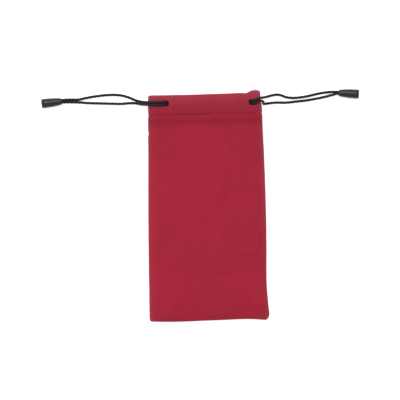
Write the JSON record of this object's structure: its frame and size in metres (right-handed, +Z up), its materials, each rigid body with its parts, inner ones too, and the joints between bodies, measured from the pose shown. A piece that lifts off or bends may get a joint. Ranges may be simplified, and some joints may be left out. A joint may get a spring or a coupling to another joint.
{
  "type": "drawstring pouch",
  "caption": "Flat soft cloth pouch with a turned-in hem, a drawcord leaving each side of the mouth and a bell-shaped end on each cord.",
  "frame": {"origin": "middle of the pouch's underside as it lies on its back, cords not counted", "axes": "+Y from the closed base to the mouth, +X to the right seen from the front, +Z up out of the front of the pouch"},
  "size_m": [0.2524, 0.181, 0.0146],
  "materials": {
    "pouch_cloth": "matte brushed microfibre cloth, crimson",
    "stitching": "fine sewing thread, dark crimson",
    "drawcord": "round cord laid from three strands, black, slightly worn and pale in flecks",
    "cord_end": "moulded plastic, dark grey, satin"
  },
  "bodies": {
    "root": {"pouch_body": "pouch_cloth", "left_drawcord": "drawcord", "right_drawcord": "drawcord", "left_cord_end": "cord_end", "right_cord_end": "cord_end"}
  },
  "joints": []
}
